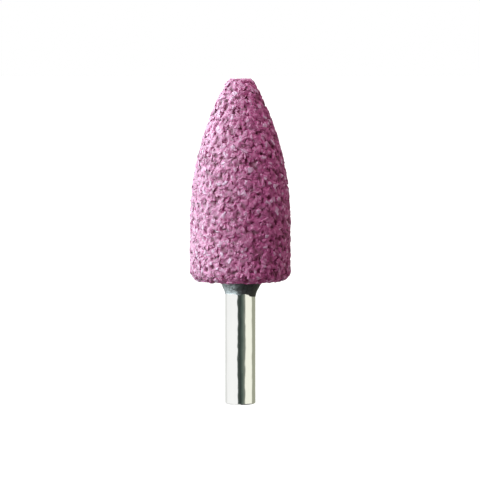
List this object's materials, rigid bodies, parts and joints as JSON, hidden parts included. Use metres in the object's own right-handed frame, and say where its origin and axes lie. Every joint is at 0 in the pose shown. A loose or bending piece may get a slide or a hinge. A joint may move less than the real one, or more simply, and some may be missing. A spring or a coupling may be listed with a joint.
{
  "type": "mounted point",
  "caption": "Bullet-shaped pink abrasive head on a round steel shank, spun in a collet to grind and smooth metal in hollows, bores and corners.",
  "frame": {"origin": "centre of the shank's flat free end", "axes": "+Z along the shank, from its free end to the tip of the head"},
  "size_m": [0.02, 0.02, 0.0643],
  "materials": {
    "pink_abrasive": "matte",
    "polished_steel": "polished",
    "dark_cement": "matte"
  },
  "bodies": {
    "root": {"abrasive_head": "pink_abrasive", "steel_mandrel": "polished_steel", "cement_bond": "dark_cement"}
  },
  "joints": []
}
